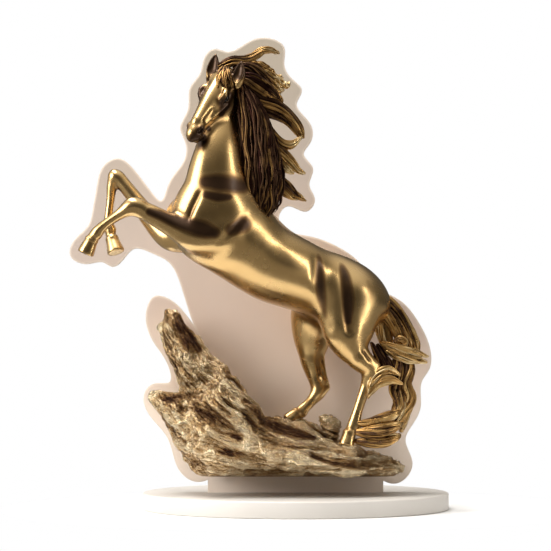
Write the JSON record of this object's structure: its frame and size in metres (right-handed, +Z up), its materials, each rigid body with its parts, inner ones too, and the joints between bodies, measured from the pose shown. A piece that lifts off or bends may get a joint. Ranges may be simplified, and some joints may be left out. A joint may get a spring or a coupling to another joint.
{
  "type": "horse statuette",
  "caption": "Desk statuette: a rearing antique gold bronze horse on a craggy base, in front of a tinted contour-cut acrylic panel that lifts out of a round frosted acrylic foot.",
  "frame": {"origin": "centre of the round foot's underside, on the surface it stands on", "axes": "+Z up; the horse faces -X and shows its left flank to -Y; the panel lies in the XZ plane, behind it towards +Y"},
  "size_m": [0.1362, 0.1128, 0.1695],
  "materials": {
    "polished_bronze": "polished antique gold",
    "patina_bronze": "dark patina rubbed back to gold on the ridges",
    "crag_bronze": "rugged cast, gold on the ridges and dark in the clefts",
    "eye_black": "gloss enamel",
    "tinted_acrylic": "warm beige tint, polished cut edges",
    "frosted_acrylic": "frosted",
    "screw_steel": "plain"
  },
  "bodies": {
    "base": {"base_disc": "frosted_acrylic"},
    "statue": {"back_panel": "tinted_acrylic", "panel_screws": "screw_steel", "crag_main": "crag_bronze", "crag_spire": "crag_bronze", "crag_ledge": "crag_bronze", "crag_chip": "crag_bronze", "torso": "polished_bronze", "neck": "polished_bronze", "head": "polished_bronze", "left_eye": "eye_black", "right_eye": "eye_black", "left_ear": "polished_bronze", "right_ear": "polished_bronze", "forelock": "patina_bronze", "left_foreleg": "polished_bronze", "right_foreleg": "polished_bronze", "left_hind_leg": "polished_bronze", "right_hind_leg": "polished_bronze", "left_forehoof": "polished_bronze", "right_forehoof": "polished_bronze", "left_hind_hoof": "polished_bronze", "right_hind_hoof": "polished_bronze", "mane_streamer": "patina_bronze", "mane_crown": "patina_bronze", "mane_tuft": "patina_bronze", "mane_loop": "patina_bronze", "mane_return": "patina_bronze", "mane_mid_flick": "patina_bronze", "mane_fall": "patina_bronze", "mane_low_flick": "patina_bronze", "tail_dock": "patina_bronze", "tail_inner": "patina_bronze", "tail_spray": "patina_bronze", "tail_under": "patina_bronze", "tail_fall": "patina_bronze", "tail_curl": "patina_bronze", "tail_fan": "patina_bronze", "joint_pins": "screw_steel", "hoof_studs": "screw_steel"}
  },
  "joints": [
    {"name": "statue_lift", "type": "slide", "parent": "base", "child": "statue", "axis": [0, 0, 1], "range_m": [0, 0.006]}
  ]
}
